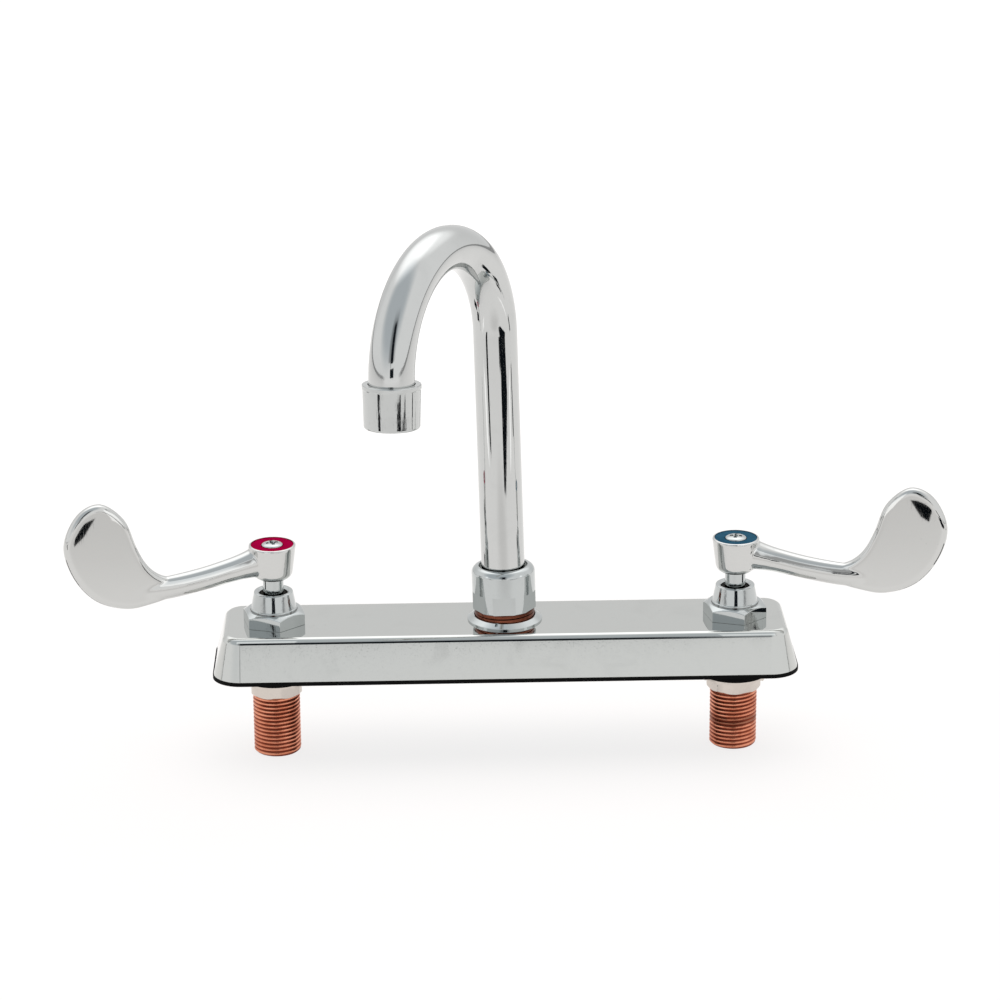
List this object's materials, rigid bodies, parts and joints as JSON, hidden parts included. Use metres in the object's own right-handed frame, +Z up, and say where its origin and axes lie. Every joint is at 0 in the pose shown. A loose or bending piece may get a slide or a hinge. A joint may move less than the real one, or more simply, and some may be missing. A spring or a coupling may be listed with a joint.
{
  "type": "deck-mount faucet",
  "caption": "Centreset kitchen faucet on a long deck plate, with a swivelling gooseneck spout, wrist-blade handles and threaded inlet shanks.",
  "frame": {"origin": "centre of the gasket's underside on the deck, midway between the two inlet shanks", "axes": "+X towards the cold inlet, -Y towards the person at the sink, +Z up out of the deck"},
  "size_m": [0.3817, 0.1191, 0.2471],
  "materials": {
    "polished_chrome": "mirror polish",
    "coppery_brass": "raw, copper-toned",
    "plain_brass": "machined",
    "stainless_steel": "bright",
    "black_rubber": "matte",
    "red_plastic": "gloss",
    "blue_plastic": "gloss",
    "white_plastic": "matte",
    "white_ceramic": "lapped"
  },
  "bodies": {
    "deck_assembly": {"cover_plate": "polished_chrome", "base_gasket": "black_rubber", "spout_body": "coppery_brass", "spout_o_rings": "black_rubber", "spout_base_ring": "polished_chrome", "swivel_nut": "polished_chrome", "swivel_washer": "white_plastic", "hot_valve_body": "coppery_brass", "hot_cross_tube": "coppery_brass", "hot_deck_washer": "black_rubber", "hot_lock_nut": "polished_chrome", "hot_clamp_nut": "polished_chrome", "hot_bonnet": "polished_chrome", "hot_cartridge_sleeve": "plain_brass", "hot_stem_o_rings": "black_rubber", "hot_seat_seal": "black_rubber", "hot_fixed_disc": "white_ceramic", "cold_valve_body": "coppery_brass", "cold_cross_tube": "coppery_brass", "cold_deck_washer": "black_rubber", "cold_lock_nut": "polished_chrome", "cold_clamp_nut": "polished_chrome", "cold_bonnet": "polished_chrome", "cold_cartridge_sleeve": "plain_brass", "cold_stem_o_rings": "black_rubber", "cold_seat_seal": "black_rubber", "cold_fixed_disc": "white_ceramic"},
    "hot_handle_assembly": {"hot_handle": "polished_chrome", "hot_index_ring": "red_plastic", "hot_handle_screw": "polished_chrome", "hot_stem": "polished_chrome", "hot_moving_disc": "white_ceramic"},
    "cold_handle_assembly": {"cold_handle": "polished_chrome", "cold_index_ring": "blue_plastic", "cold_handle_screw": "polished_chrome", "cold_stem": "polished_chrome", "cold_moving_disc": "white_ceramic"},
    "spout_assembly": {"spout_tube": "polished_chrome", "spout_collar": "plain_brass", "aerator_housing": "polished_chrome", "aerator_washer": "black_rubber", "aerator_insert": "white_plastic", "aerator_screen": "stainless_steel"}
  },
  "joints": [
    {"name": "hot_handle_turn", "type": "hinge", "parent": "deck_assembly", "child": "hot_handle_assembly", "pos_m": [-0.1016, 0, 0.042], "axis": [0, 0, 1], "range_deg": [0, 90]},
    {"name": "cold_handle_turn", "type": "hinge", "parent": "deck_assembly", "child": "cold_handle_assembly", "pos_m": [0.1016, 0, 0.042], "axis": [0, 0, 1], "range_deg": [-90, 0]},
    {"name": "spout_swivel", "type": "hinge", "parent": "deck_assembly", "child": "spout_assembly", "pos_m": [0, 0, 0.0199], "axis": [-0.0253, 0.0288, 0.9993], "continuous": true}
  ]
}
